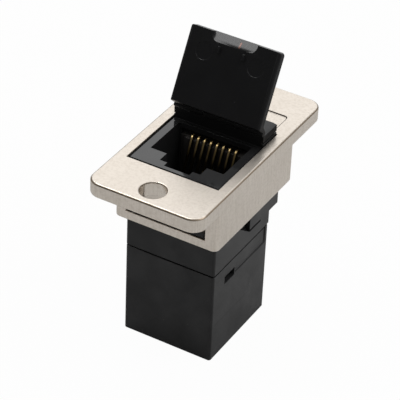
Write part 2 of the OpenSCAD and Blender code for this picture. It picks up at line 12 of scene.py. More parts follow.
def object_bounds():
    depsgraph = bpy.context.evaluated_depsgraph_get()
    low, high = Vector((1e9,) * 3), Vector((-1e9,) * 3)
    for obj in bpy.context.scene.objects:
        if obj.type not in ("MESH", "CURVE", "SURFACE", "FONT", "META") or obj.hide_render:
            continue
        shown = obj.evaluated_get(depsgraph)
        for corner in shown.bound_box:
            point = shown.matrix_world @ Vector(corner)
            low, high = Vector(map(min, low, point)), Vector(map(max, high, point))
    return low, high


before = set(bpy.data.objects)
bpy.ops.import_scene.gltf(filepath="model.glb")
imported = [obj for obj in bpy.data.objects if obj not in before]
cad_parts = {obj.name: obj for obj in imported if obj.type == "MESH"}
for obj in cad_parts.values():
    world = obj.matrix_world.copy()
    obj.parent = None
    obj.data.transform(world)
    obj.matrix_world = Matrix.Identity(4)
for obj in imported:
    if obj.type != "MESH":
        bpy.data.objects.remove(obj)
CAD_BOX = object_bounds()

LOG = logging.getLogger("coupler")
MM = 0.001
WHITE = 1.0
Colour = tuple[float, float, float]
Place = tuple[float, float, float]
Span = tuple[float, float]
Socket = bpy.types.NodeSocket
Value = Union[float, tuple, Socket]
Maps = dict[str, Socket]


class Kind(Enum):
    """Shader nodes that the finishes and the studio are made from."""

    BSDF = "ShaderNodeBsdfPrincipled"
    BACKGROUND = "ShaderNodeBackground"
    BEVEL = "ShaderNodeBevel"
    BUMP = "ShaderNodeBump"
    COORDINATES = "ShaderNodeTexCoord"
    DIFFUSE = "ShaderNodeBsdfDiffuse"
    EMISSION = "ShaderNodeEmission"
    GEOMETRY = "ShaderNodeNewGeometry"
    GROUP = "ShaderNodeGroup"
    GROUP_IN = "NodeGroupInput"
    GROUP_OUT = "NodeGroupOutput"
    LIGHT_PATH = "ShaderNodeLightPath"
    MAPPING = "ShaderNodeMapping"
    MAP_RANGE = "ShaderNodeMapRange"
    MATH = "ShaderNodeMath"
    MIX_COLOUR = "ShaderNodeMix"
    MIX_SHADER = "ShaderNodeMixShader"
    NOISE = "ShaderNodeTexNoise"
    OUTPUT = "ShaderNodeOutputMaterial"
    SEPARATE = "ShaderNodeSeparateXYZ"
    VECTOR_MATH = "ShaderNodeVectorMath"
    VORONOI = "ShaderNodeTexVoronoi"
    WORLD_OUTPUT = "ShaderNodeOutputWorld"


class Tree:
    """Short calls that add nodes to a shader tree and join them."""

    MIX_FACTOR: ClassVar[int] = 0
    MIX_FIRST: ClassVar[int] = 6
    MIX_SECOND: ClassVar[int] = 7
    MIX_RESULT: ClassVar[int] = 2

    def __init__(self, tree: bpy.types.NodeTree) -> None:
        """Keeps the tree that the calls work on."""
        self.tree = tree

    @classmethod
    def emptied(cls, owner: Union[bpy.types.Material, bpy.types.World]) -> "Tree":
        """Clears the nodes that a new material or world comes with.

        Args:
            owner: The material or world.

        Returns:
            Its empty tree.
        """
        owner.use_nodes = True
        owner.node_tree.nodes.clear()
        return cls(owner.node_tree)

    def feed(self, socket: Socket, value: Value) -> None:
        """Joins an input to another node's output, or sets its value.

        Args:
            socket: The input.
            value: An output, a number, a vector or a colour.
        """
        if isinstance(value, Socket):
            self.tree.links.new(value, socket)
        elif socket.type == "RGBA":
            socket.default_value = (*value, 1.0)
        else:
            socket.default_value = value

    def add(
        self, kind: Kind, inputs: Optional[dict[Union[str, int], Value]] = None, **settings: object,
    ) -> bpy.types.Node:
        """Adds one node.

        Args:
            kind: The node to add.
            inputs: Values or other nodes' output sockets, by input name or number.
            settings: Properties of the node itself.

        Returns:
            The new node.
        """
        node = self.tree.nodes.new(kind.value)
        for name, value in settings.items():
            setattr(node, name, value)
        for name, value in (inputs or {}).items():
            self.feed(node.inputs[name], value)
        return node

    def math(self, operation: str, first: Value, second: Value = 0.0, third: Value = 0.0) -> Socket:
        """Adds a math node.

        Args:
            operation: Blender's name of the operation.
            first: First value or socket.
            second: Second value or socket.
            third: Third value or socket, where the operation has one.

        Returns:
            The result's socket.
        """
        return self.add(Kind.MATH, {0: first, 1: second, 2: third}, operation=operation).outputs[0]

    def dot(self, first: Value, second: Value) -> Socket:
        """Adds the dot product of two vectors."""
        return self.add(Kind.VECTOR_MATH, {0: first, 1: second}, operation="DOT_PRODUCT").outputs["Value"]

    def spread(self, value: Value, low: Value, high: Value, start: Value = 0.0, end: Value = 1.0) -> Socket:
        """Maps a stretch of values to another one, and clips it there.

        Args:
            value: Socket to map.
            low: Value that becomes start.
            high: Value that becomes end.
            start: Result at low.
            end: Result at high.

        Returns:
            The mapped value's socket.
        """
        inputs = {"Value": value, "From Min": low, "From Max": high, "To Min": start, "To Max": end}
        return self.add(Kind.MAP_RANGE, inputs).outputs[0]

    def blend(self, factor: Value, first: Value, second: Value) -> Socket:
        """Mixes two colours.

        Args:
            factor: Share of the second colour.
            first: Colour at 0.
            second: Colour at 1.

        Returns:
            The mixed colour's socket.
        """
        inputs = {self.MIX_FACTOR: factor, self.MIX_FIRST: first, self.MIX_SECOND: second}
        return self.add(Kind.MIX_COLOUR, inputs, data_type="RGBA").outputs[self.MIX_RESULT]

    def tint(self, mask: Socket, share: float, first: Value, second: Value) -> Socket:
        """Lays part of a second colour over the first one, where a mask says so."""
        return self.blend(self.math("MULTIPLY", mask, share), first, second)


class Effect(Enum):
    """Surface effects that the finishes place."""

    GRAIN = "surface_grain"
    DRIFT = "tone_drift"
    EDGES = "edge_rub"
    HAIRLINES = "hairlines"
    SPECKS = "dust_specks"
    UPRIGHT = "upright_faces"
    DRAG = "mould_drag"
    BORES = "bored_holes"
    REACH = "reach_from_middle"
    # Painted shade: a dark band in a gap or groove, where shade falls.
    SEAM = "seam_dirt"
    SMEAR = "paint_smear"
    BEVELS = "sloping_edges"
    FLANKS = "cut_flanks"


class Effects:
    """Builds each effect's node group once, and places it in materials."""

    INPUTS: ClassVar[dict[Effect, dict[str, float]]] = {
        Effect.GRAIN: {"Scale": 5000.0, "Pits": 0.4},
        Effect.DRIFT: {"Scale": 120.0},
        Effect.EDGES: {"Radius": 0.1 * MM, "Scale": 900.0},
        Effect.HAIRLINES: {"Scale": 900.0},
        Effect.SPECKS: {"Scale": 700.0, "Size": 0.05},
        Effect.UPRIGHT: {"Level": 0.9},
        Effect.DRAG: {"Scale": 5000.0},
        Effect.BORES: {"Offset": 14.5 * MM, "Radius": 1.97 * MM},
        Effect.REACH: {"Middle": 0.0, "Start": 0.0, "End": 10.0 * MM},
        Effect.SEAM: {
            "Height": 0.0, "Half": 0.1 * MM, "Side": 7.1 * MM, "Middle": 0.0, "Reach": 8.0 * MM,
            "Outside": 0.0},
        Effect.SMEAR: {"Across": 0.0, "Height": 0.0, "Lean": 0.0, "Half": 0.1 * MM, "Reach": 0.3 * MM},
        Effect.BEVELS: {"Low": 0.4, "High": 0.88},
        Effect.FLANKS: {"Low": 0.25, "High": 0.65},
    }
    OUTPUTS: ClassVar[dict[Effect, tuple[str, ...]]] = {Effect.GRAIN: ("Height", "Speckle")}
    ONE_MASK: ClassVar[tuple[str, ...]] = ("Mask",)

    GRAIN_DETAIL: ClassVar[float] = 2.0
    GRAIN_ROUGHNESS: ClassVar[float] = 0.6
    SPOT_SHARE: ClassVar[float] = 0.55
    SPOT_DETAIL: ClassVar[float] = 1.0
    SPOT_SPAN: ClassVar[Span] = (0.4, 0.75)
    CLOUD_DETAIL: ClassVar[float] = 3.0
    CLOUD_TWIST: ClassVar[float] = 0.4
    CLOUD_SPAN: ClassVar[Span] = (0.3, 0.7)
    RUB_SAMPLES: ClassVar[int] = 6
    RUB_TURN: ClassVar[Span] = (0.995, 0.88)
    RUB_DETAIL: ClassVar[float] = 3.0
    RUB_BREAKS: ClassVar[Span] = (0.35, 0.6)
    LINE_TURN: ClassVar[Place] = (0.3, 0.2, 0.7)
    LINE_STRETCH: ClassVar[Place] = (1.0, 0.03, 1.0)
    LINE_DETAIL: ClassVar[float] = 2.0
    LINE_SPAN: ClassVar[Span] = (0.66, 0.74)
    UPRIGHT_FULL: ClassVar[float] = 0.5
    DRAG_STRETCH: ClassVar[Place] = (1.0, 1.0, 0.05)
    DRAG_DETAIL: ClassVar[float] = 3.0
    DRAG_ROUGHNESS: ClassVar[float] = 0.7
    DRAG_SPAN: ClassVar[Span] = (0.38, 0.68)
    SLOPE_FADES: ClassVar[Span] = (0.1, 0.08)

    def __init__(self) -> None:
        """Starts with no group built."""
        self.built: dict[Effect, bpy.types.NodeTree] = {}

    def get(self, effect: Effect) -> bpy.types.NodeTree:
        """Gives an effect's node group, and builds it at its first use.

        Args:
            effect: The effect wanted.

        Returns:
            The effect's node group.
        """
        if effect not in self.built:
            group = bpy.data.node_groups.new(effect.value, "ShaderNodeTree")
            outputs = self.OUTPUTS.get(effect, self.ONE_MASK)
            for name, value in self.INPUTS[effect].items():
                socket = group.interface.new_socket(name, in_out="INPUT", socket_type="NodeSocketFloat")
                socket.default_value = value
            for name in outputs:
                group.interface.new_socket(name, in_out="OUTPUT", socket_type="NodeSocketFloat")
            tree = Tree(group)
            given = tree.add(Kind.GROUP_IN).outputs
            place = tree.add(Kind.COORDINATES).outputs["Object"]
            results = getattr(self, effect.name.lower())(tree, given, place)
            tree.add(Kind.GROUP_OUT, dict(zip(outputs, results)))
            self.built[effect] = group
        return self.built[effect]

    def place(self, tree: Tree, effect: Effect, *values: float) -> bpy.types.Node:
        """Places an effect in a material.

        Args:
            tree: The material's tree.
            effect: The effect wanted.
            values: Its inputs in order. Those that are left out keep the group's own values.

        Returns:
            The effect's node.
        """
        return tree.add(Kind.GROUP, dict(zip(self.INPUTS[effect], values)), node_tree=self.get(effect))

    def mask(self, tree: Tree, effect: Effect, *values: float) -> Socket:
        """Places an effect, as place does, and gives its first output."""
        return self.place(tree, effect, *values).outputs[0]

    @staticmethod
    def facing(tree: Tree, axis: str) -> Socket:
        """Reads how far a face looks along an axis of the object."""
        return tree.add(Kind.SEPARATE, {0: tree.add(Kind.COORDINATES).outputs["Normal"]}).outputs[axis]

    @staticmethod
    def within(tree: Tree, value: Socket, middle: Value, reach: Socket) -> Socket:
        """Gives 1 where a value is less than reach away from middle, and 0 elsewhere."""
        return tree.math("LESS_THAN", tree.math("ABSOLUTE", tree.math("SUBTRACT", value, middle)), reach)

    def grain(self, tree: Tree, given: bpy.types.NodeOutputs, place: Socket) -> tuple[Socket, ...]:
        """Fine grain of a blasted or spark-eroded surface.

        Args:
            tree: The group's tree.
            given: The group's inputs: grains per metre, and the share of round pits.
            place: Object coordinates.

        Returns:
            Height and speckle sockets.
        """
        fine = tree.add(Kind.NOISE, {
            "Vector": place, "Scale": given["Scale"], "Detail": self.GRAIN_DETAIL,
            "Roughness": self.GRAIN_ROUGHNESS})
        pits = tree.add(Kind.VORONOI, {"Vector": place, "Scale": given["Scale"]}, feature="SMOOTH_F1")
        height = tree.math("MULTIPLY_ADD", pits.outputs["Distance"], given["Pits"], fine.outputs[0])
        wide = tree.math("MULTIPLY", given["Scale"], self.SPOT_SHARE)
        spots = tree.add(Kind.NOISE, {"Vector": place, "Scale": wide, "Detail": self.SPOT_DETAIL})
        return height, tree.spread(spots.outputs[0], *self.SPOT_SPAN)

    def drift(self, tree: Tree, given: bpy.types.NodeOutputs, place: Socket) -> tuple[Socket, ...]:
        """Slow change of tone over a surface.

        Args:
            tree: The group's tree.
            given: The group's input: patches per metre.
            place: Object coordinates.

        Returns:
            The value's socket.
        """
        cloud = tree.add(Kind.NOISE, {
            "Vector": place, "Scale": given["Scale"], "Detail": self.CLOUD_DETAIL,
            "Distortion": self.CLOUD_TWIST})
        return (tree.spread(cloud.outputs[0], *self.CLOUD_SPAN),)

    def edges(self, tree: Tree, given: bpy.types.NodeOutputs, place: Socket) -> tuple[Socket, ...]:
        """Broken mask along the edges, where hands and tools rub.

        Args:
            tree: The group's tree.
            given: The group's inputs: reach from the edge in metres, and breaks per metre.
            place: Object coordinates.

        Returns:
            The mask's socket.
        """
        rounded = tree.add(Kind.BEVEL, {"Radius": given["Radius"]}, samples=self.RUB_SAMPLES).outputs[0]
        turn = tree.dot(rounded, tree.add(Kind.GEOMETRY).outputs["Normal"])
        near = tree.spread(turn, *self.RUB_TURN)
        patches = tree.add(Kind.NOISE, {"Vector": place, "Scale": given["Scale"], "Detail": self.RUB_DETAIL})
        return (tree.math("MULTIPLY", near, tree.spread(patches.outputs[0], *self.RUB_BREAKS)),)

    def hairlines(self, tree: Tree, given: bpy.types.NodeOutputs, place: Socket) -> tuple[Socket, ...]:
        """Thin straight scratches along one direction.

        Args:
            tree: The group's tree.
            given: The group's input: lines per metre.
            place: Object coordinates.

        Returns:
            The mask's socket.
        """
        drawn = tree.add(Kind.MAPPING, {
            "Vector": place, "Rotation": self.LINE_TURN, "Scale": self.LINE_STRETCH})
        lines = tree.add(Kind.NOISE, {
            "Vector": drawn.outputs[0], "Scale": given["Scale"], "Detail": self.LINE_DETAIL})
        return (tree.spread(lines.outputs[0], *self.LINE_SPAN),)

    def specks(self, tree: Tree, given: bpy.types.NodeOutputs, place: Socket) -> tuple[Socket, ...]:
        """Single specks of dust and moulding flaws.

        Args:
            tree: The group's tree.
            given: The group's inputs: cells per metre, and a speck's size in a cell.
            place: Object coordinates.

        Returns:
            The mask's socket.
        """
        cells = tree.add(Kind.VORONOI, {"Vector": place, "Scale": given["Scale"]})
        return (tree.spread(cells.outputs["Distance"], given["Size"], 0.0),)

    def upright(self, tree: Tree, given: bpy.types.NodeOutputs, place: Socket) -> tuple[Socket, ...]:
        """Mask of the faces that stand along Z, which the mould textures.

        Args:
            tree: The group's tree.
            given: The group's input: how far the normal rises where a face counts as lying flat.
            place: Object coordinates; not used.

        Returns:
            The mask's socket.
        """
        rise = tree.math("ABSOLUTE", self.facing(tree, "Z"))
        return (tree.spread(rise, given["Level"], self.UPRIGHT_FULL),)

    def drag(self, tree: Tree, given: bpy.types.NodeOutputs, place: Socket) -> tuple[Socket, ...]:
        """Streaks along Z, which the die leaves as the casting comes out of it.

        Args:
            tree: The group's tree.
            given: The group's input: streaks per metre.
            place: Object coordinates.

        Returns:
            The mask's socket.
        """
        drawn = tree.add(Kind.MAPPING, {"Vector": place, "Scale": self.DRAG_STRETCH}).outputs[0]
        streaks = tree.add(Kind.NOISE, {
            "Vector": drawn, "Scale": given["Scale"], "Detail": self.DRAG_DETAIL,
            "Roughness": self.DRAG_ROUGHNESS})
        return (tree.spread(streaks.outputs[0], *self.DRAG_SPAN),)

    def bores(self, tree: Tree, given: bpy.types.NodeOutputs, place: Socket) -> tuple[Socket, ...]:
        """Mask of the two screw holes' walls.

        Args:
            tree: The group's tree.
            given: The group's inputs in metres: the holes' distance from the middle along Y, and their reach.
            place: Object coordinates.

        Returns:
            The mask's socket.
        """
        parts = tree.add(Kind.SEPARATE, {0: place}).outputs
        along = tree.math("SUBTRACT", tree.math("ABSOLUTE", parts["Y"]), given["Offset"])
        across = tree.math("MULTIPLY", parts["X"], parts["X"])
        away = tree.math("SQRT", tree.math("MULTIPLY_ADD", along, along, across))
        return (tree.math("LESS_THAN", away, given["Radius"]),)

    def reach(self, tree: Tree, given: bpy.types.NodeOutputs, place: Socket) -> tuple[Socket, ...]:
        """Ramp that grows with the distance from a level plane.

        Args:
            tree: The group's tree.
            given: The group's inputs: the plane's height, and the distances where the ramp starts and ends.
            place: Object coordinates.

        Returns:
            The mask's socket.
        """
        height = tree.math("SUBTRACT", tree.add(Kind.SEPARATE, {0: place}).outputs["Z"], given["Middle"])
        return (tree.spread(tree.math("ABSOLUTE", height), given["Start"], given["End"]),)

    def seam(self, tree: Tree, given: bpy.types.NodeOutputs, place: Socket) -> tuple[Socket, ...]:
        """Level band of painted shade in a gap, inside an upright box or outside it.

        Args:
            tree: The group's tree.
            given: The group's inputs in metres: the band's height and half of its width, the box's
                reach along X, and its middle and reach along Y. Outside is 1 for the band round the box.
            place: Object coordinates.

        Returns:
            The mask's socket.
        """
        parts = tree.add(Kind.SEPARATE, {0: place}).outputs
        across = self.within(tree, parts["X"], 0.0, given["Side"])
        along = self.within(tree, parts["Y"], given["Middle"], given["Reach"])
        inside = tree.math("MULTIPLY", across, along)
        chosen = tree.math("ABSOLUTE", tree.math("SUBTRACT", inside, given["Outside"]))
        return (tree.math("MULTIPLY", chosen, self.within(tree, parts["Z"], given["Height"], given["Half"])),)

    def smear(self, tree: Tree, given: bpy.types.NodeOutputs, place: Socket) -> tuple[Socket, ...]:
        """One short smear that leans across X as it rises.

        Args:
            tree: The group's tree.
            given: The group's inputs: the smear's middle along X and Z, its lean, and half of its
                width and height in metres.
            place: Object coordinates.

        Returns:
            The mask's socket.
        """
        parts = tree.add(Kind.SEPARATE, {0: place}).outputs
        rise = tree.math("SUBTRACT", parts["Z"], given["Height"])
        across = tree.math("SUBTRACT", parts["X"], given["Across"])
        aside = tree.math("SUBTRACT", across, tree.math("MULTIPLY", rise, given["Lean"]))
        core = tree.spread(tree.math("ABSOLUTE", aside), given["Half"], 0.0)
        return (tree.math("MULTIPLY", core, self.within(tree, rise, 0.0, given["Reach"])),)

    def bevels(self, tree: Tree, given: bpy.types.NodeOutputs, place: Socket) -> tuple[Socket, ...]:
        """Mask of the narrow faces that slope between a top and a side.

        Args:
            tree: The group's tree.
            given: The group's inputs: the least and the greatest rise of the normal.
            place: Object coordinates; not used.

        Returns:
            The mask's socket.
        """
        rise = self.facing(tree, "Z")
        below, above = self.SLOPE_FADES
        leaning = tree.spread(rise, tree.math("SUBTRACT", given["Low"], below), given["Low"])
        sloping = tree.spread(rise, given["High"], tree.math("SUBTRACT", given["High"], above))
        return (tree.math("MULTIPLY", leaning, sloping),)

    def flanks(self, tree: Tree, given: bpy.types.NodeOutputs, place: Socket) -> tuple[Socket, ...]:
        """Mask of the faces that look along X, where painted shade darkens a contact's sides.

        Args:
            tree: The group's tree.
            given: The group's inputs: the lean of the normal where the mask starts and where it is full.
            place: Object coordinates; not used.

        Returns:
            The mask's socket.
        """
        lean = tree.math("ABSOLUTE", self.facing(tree, "X"))
        return (tree.spread(lean, given["Low"], given["High"]),)


@dataclass(frozen=True)
class Band:
    """Level band of painted shade in a gap, with the inputs of the seam effect in order."""

    height: float
    half: float
    side: float
    middle: float
    reach: float
    outside: float = 0.0


@dataclass(frozen=True)
class Stroke:
    """Short smear, with the inputs of the smear effect in order."""

    across: float
    height: float
    lean: float
    half: float
    reach: float


@dataclass(frozen=True)
class Ramp:
    """Ramp away from a level plane, with the inputs of the reach effect in order."""

    middle: float
    start: float
    end: float


@dataclass(frozen=True)
class Finish:
    """What every finish has: a name, two tones, a range of roughness and a grain."""

    name: str
    light: Colour
    dark: Colour
    smooth: float
    rough: float
    grain_scale: float
    grain_depth: float
    grain_strength: float = 1.0
    pits: float = 0.2
    drift_scale: float = 140.0
    edge_radius: float = 0.12 * MM

    def material(self, effects: Effects) -> bpy.types.Material:
        """Builds the finish as a material.

        Args:
            effects: The shared effects.

        Returns:
            The material.
        """
        material = bpy.data.materials.new(self.name)
        tree = Tree.emptied(material)
        shader = tree.add(Kind.BSDF)
        self.constants(shader)
        maps = self.surface(tree, effects)
        bump = tree.add(Kind.BUMP, {
            "Height": maps.pop("Height"), "Distance": self.grain_depth, "Strength": self.grain_strength})
        for name, socket in (maps | {"Normal": bump.outputs[0]}).items():
            tree.feed(shader.inputs[name], socket)
        tree.add(Kind.OUTPUT, {"Surface": shader.outputs[0]})
        return material

    def constants(self, shader: bpy.types.Node) -> None:
        """Sets the values that are the same all over the surface.

        Args:
            shader: The material's Principled node.
        """
        raise NotImplementedError

    def surface(self, tree: Tree, effects: Effects) -> Maps:
        """Adds the nodes that change over the surface.

        Args:
            tree: The material's tree.
            effects: The shared effects.

        Returns:
            The sockets to join, by the shader's input, and the grain's height.
        """
        raise NotImplementedError

    def tone(self, tree: Tree, drift: Socket) -> Socket:
        """Mixes the two tones."""
        return tree.blend(drift, self.dark, self.light)

    def base_roughness(self, tree: Tree, drift: Socket) -> Socket:
        """Mixes the two ends of the roughness."""
        return tree.spread(drift, 0.0, 1.0, self.smooth, self.rough)


@dataclass(frozen=True)
class SatinNickel(Finish):
    """Blasted zinc casting with a satin nickel plate."""

    pits: float = 0.5
    drift_scale: float = 160.0
    rub_scale: float = 1200.0
    rub_share: float = 0.5
    bright_edge: Colour = (0.72, 0.67, 0.61)
    pitted: Colour = (0.46, 0.405, 0.335)
    bevel_shade_colour: Colour = (0.33, 0.265, 0.20)
    speckle: float = 0.24
    # Painted reflection: dark brown on the sloping edge faces, standing in for the dark surroundings that
    # they mirror.
    speckle_rough: float = 0.08
    streak: float = 0.36
    edge_polish: float = 0.2
    bore_polish: float = 0.15
    # Painted shade: dark colour on the walls of the recess groove in the flange's top, where shade falls.
    shaded_groove: Band = Band(2.225 * MM, 0.064 * MM, 6.72 * MM, 9.2 * MM, 2.46 * MM)
    groove_shade_colour: Colour = (0.06, 0.05, 0.042)

    def constants(self, shader: bpy.types.Node) -> None:
        """Makes the surface metal."""
        shader.inputs["Metallic"].default_value = 1.0

    def surface(self, tree: Tree, effects: Effects) -> Maps:
        """Mixes the plate's tones, its rubbed edges, its blasted grain, a painted reflection on its sloping
        edges and painted shade in its recess groove.

        Args:
            tree: The material's tree.
            effects: The shared effects.

        Returns:
            The sockets to join, by the shader's input, and the grain's height.
        """
        height, speckle = effects.place(tree, Effect.GRAIN, self.grain_scale, self.pits).outputs
        drift = effects.mask(tree, Effect.DRIFT, self.drift_scale)
        edge = effects.mask(tree, Effect.EDGES, self.edge_radius, self.rub_scale)
        upright = effects.mask(tree, Effect.UPRIGHT)
        streaks = tree.math("MULTIPLY", effects.mask(tree, Effect.DRAG), upright)
        speckled = tree.tint(speckle, self.speckle, self.tone(tree, drift), self.pitted)
        streaked = tree.tint(streaks, self.streak, speckled, self.pitted)
        rubbed = tree.tint(edge, self.rub_share, streaked, self.bright_edge)
        # Painted reflection of dark surroundings on the sloping edges.
        bevel_shaded = tree.blend(effects.mask(tree, Effect.BEVELS), rubbed, self.bevel_shade_colour)
        # Painted shade in the recess groove.
        shaded_groove = effects.mask(tree, Effect.SEAM, *astuple(self.shaded_groove))
        worn = tree.math("MULTIPLY", edge, -self.edge_polish)
        spotted = tree.math("MULTIPLY_ADD", speckle, self.speckle_rough, worn)
        reamed = tree.math("MULTIPLY_ADD", effects.mask(tree, Effect.BORES), -self.bore_polish, spotted)
        return {
            "Base Color": tree.blend(shaded_groove, bevel_shaded, self.groove_shade_colour),
            "Roughness": tree.math("ADD", self.base_roughness(tree, drift), reamed),
            "Height": height,
        }


@dataclass(frozen=True)
class MouldedPlastic(Finish):
    """Injection-moulded plastic with a fine spark-eroded texture."""

    rub_scale: float = 1500.0
    rub_share: float = 0.6
    rub_rough: float = 0.08
    rubbed: Colour = (0.03, 0.03, 0.032)
    line_scale: float = 1400.0
    line_rough: float = 0.05
    speck_scale: float = 420.0
    speck_size: float = 0.05
    dust_share: float = 0.5
    dust: Colour = (0.12, 0.12, 0.12)
    gloss_level: float = 0.5
    side_texture: float = 0.0
    side_sheen: float = 0.0
    sheen_scale: float = 260.0
    polish: float = 0.0
    coat_rough: float = 0.2
    # seam, rim and their dark colour paint shade into the seam groove and into the gap round the port face.
    seam: Optional[Band] = None
    rim: Optional[Band] = None
    gap_shade_colour: Colour = (0.002, 0.002, 0.002)
    smear: Optional[Stroke] = None
    smear_colour: Colour = (0.34, 0.12, 0.07)
    raised: Optional[Ramp] = None
    raised_tone: Colour = (0.006, 0.006, 0.0062)
    raised_rough: float = 0.85
    raised_dull: float = 0.26

    def constants(self, shader: bpy.types.Node) -> None:
        """Sets the strength of the gloss."""
        shader.inputs["Specular IOR Level"].default_value = self.gloss_level
        shader.inputs["Coat Roughness"].default_value = self.coat_rough

    def surface(self, tree: Tree, effects: Effects) -> Maps:
        """Mixes the plastic's tone, its rubbed edges, hairlines, specks and polish.

        Args:
            tree: The material's tree.
            effects: The shared effects.

        Returns:
            The sockets to join, by the shader's input, and the grain's height.
        """
        grain = effects.place(tree, Effect.GRAIN, self.grain_scale, self.pits)
        drift = effects.mask(tree, Effect.DRIFT, self.drift_scale)
        edge = effects.mask(tree, Effect.EDGES, self.edge_radius, self.rub_scale)
        lines = effects.mask(tree, Effect.HAIRLINES, self.line_scale)
        specks = effects.mask(tree, Effect.SPECKS, self.speck_scale, self.speck_size)
        upright = effects.mask(tree, Effect.UPRIGHT)
        rubbed = tree.tint(edge, self.rub_share, self.tone(tree, drift), self.rubbed)
        base = tree.math("MULTIPLY_ADD", upright, self.side_texture, self.base_roughness(tree, drift))
        worn = tree.math("MULTIPLY", edge, self.rub_rough)
        scuffed = tree.math("MULTIPLY_ADD", lines, self.line_rough, worn)
        maps = {
            "Base Color": tree.tint(specks, self.dust_share, rubbed, self.dust),
            "Roughness": tree.math("ADD", base, scuffed),
            "Height": grain.outputs["Height"],
        }
        if self.polish > 0.0:
            cloud = effects.mask(tree, Effect.DRIFT, self.sheen_scale)
            sides = tree.math("MULTIPLY_ADD", cloud, self.side_sheen, -self.polish)
            maps["Coat Weight"] = tree.math("MULTIPLY_ADD", upright, sides, self.polish)
        self.mark(tree, effects, maps, upright)
        return maps

    def mark(self, tree: Tree, effects: Effects, maps: Maps, upright: Socket) -> None:
        """Adds what only some mouldings have: painted shade in gaps, a smear and a dull raised block.

        Args:
            tree: The material's tree.
            effects: The shared effects.
            maps: The sockets so far, which are replaced by the marked ones.
            upright: Mask of the upright faces.
        """
        # Painted shade in the seam groove between the front housing and the rear shell.
        if self.seam is not None:
            self.paint_gap_shade(tree, maps, effects.mask(tree, Effect.SEAM, *astuple(self.seam)))
        if self.smear is not None:
            stroke = effects.mask(tree, Effect.SMEAR, *astuple(self.smear))
            level = tree.math("MULTIPLY", stroke, tree.math("SUBTRACT", 1.0, upright))
            maps["Base Color"] = tree.blend(level, maps["Base Color"], self.smear_colour)
        if self.raised is not None:
            block = effects.mask(tree, Effect.REACH, *astuple(self.raised))
            coarse = tree.math("MULTIPLY", block, self.raised_rough)
            maps["Base Color"] = tree.blend(block, maps["Base Color"], self.raised_tone)
            maps["Roughness"] = tree.math("MAXIMUM", maps["Roughness"], coarse)
            self.dull(tree, maps, tree.spread(block, 0.0, 1.0, 1.0, 1.0 - self.raised_dull))
        # Painted shade in the gap round the port face, where it meets the flange's opening edge.
        if self.rim is not None:
            gap = effects.mask(tree, Effect.SEAM, *astuple(self.rim))
            self.paint_gap_shade(tree, maps, gap)
            self.dull(tree, maps, tree.math("SUBTRACT", 1.0, gap))

    def paint_gap_shade(self, tree: Tree, maps: Maps, mask: Socket) -> None:
        """Paints shade into gaps: darkens them and makes them rough."""
        maps["Base Color"] = tree.blend(mask, maps["Base Color"], self.gap_shade_colour)
        maps["Roughness"] = tree.math("MAXIMUM", maps["Roughness"], mask)

    @staticmethod
    def dull(tree: Tree, maps: Maps, kept: Socket) -> None:
        """Leaves a share of the polish, where there is any."""
        if "Coat Weight" in maps:
            maps["Coat Weight"] = tree.math("MULTIPLY", maps["Coat Weight"], kept)


@dataclass(frozen=True)
class DrawnMetal(Finish):
    """Drawn or stamped metal with streaks along its length."""

    pits: float = 0.1
    drift_scale: float = 500.0
    line_scale: float = 6000.0
    line_share: float = 0.4
    line_rough: float = 0.08

    def constants(self, shader: bpy.types.Node) -> None:
        """Makes the surface metal."""
        shader.inputs["Metallic"].default_value = 1.0

    def surface(self, tree: Tree, effects: Effects) -> Maps:
        """Mixes the metal's tones with its streaks.

        Args:
            tree: The material's tree.
            effects: The shared effects.

        Returns:
            The sockets to join, by the shader's input, and the grain's height.
        """
        grain = effects.place(tree, Effect.GRAIN, self.grain_scale, self.pits)
        drift = effects.mask(tree, Effect.DRIFT, self.drift_scale)
        lines = effects.mask(tree, Effect.HAIRLINES, self.line_scale)
        roughness = tree.math("MULTIPLY_ADD", lines, self.line_rough, self.base_roughness(tree, drift))
        return {
            "Base Color": tree.tint(lines, self.line_share, self.tone(tree, drift), self.dark),
            "Roughness": roughness,
            "Height": grain.outputs["Height"],
        }


@dataclass(frozen=True)
class GoldWithShadedLeg(DrawnMetal):
    """Contact wire with gold on its bend, painted shade that darkens the leg deep in the port, and flanks
    darkened by painted shade.
    """

    # Painted shade: near-black on the leg, deeper in the port, where shade falls.
    leg_shade_colour: Colour = (0.035, 0.025, 0.012)
    # Painted shade: dark colour on the contacts' flanks, as on the shaded sides of a round wire.
    flank_shade_colour: Colour = (0.07, 0.045, 0.02)
    leg_shade: Ramp = Ramp(-12.91 * MM, 10.9 * MM, 13.4 * MM)

    def surface(self, tree: Tree, effects: Effects) -> Maps:
        """Lays painted shade over the leg and the flanks, on top of the drawn metal's tones.

        Args:
            tree: The material's tree.
            effects: The shared effects.

        Returns:
            The sockets to join, by the shader's input, and the grain's height.
        """
        maps = super().surface(tree, effects)
        # Painted shade on the leg: full near the middle, fading out towards the bend.
        clear_of_shade = effects.mask(tree, Effect.REACH, *astuple(self.leg_shade))
        # Painted shade on the flanks.
        flank_shaded = tree.blend(effects.mask(tree, Effect.FLANKS), maps["Base Color"], self.flank_shade_colour)
        maps["Base Color"] = tree.blend(clear_of_shade, self.leg_shade_colour, flank_shaded)
        return maps


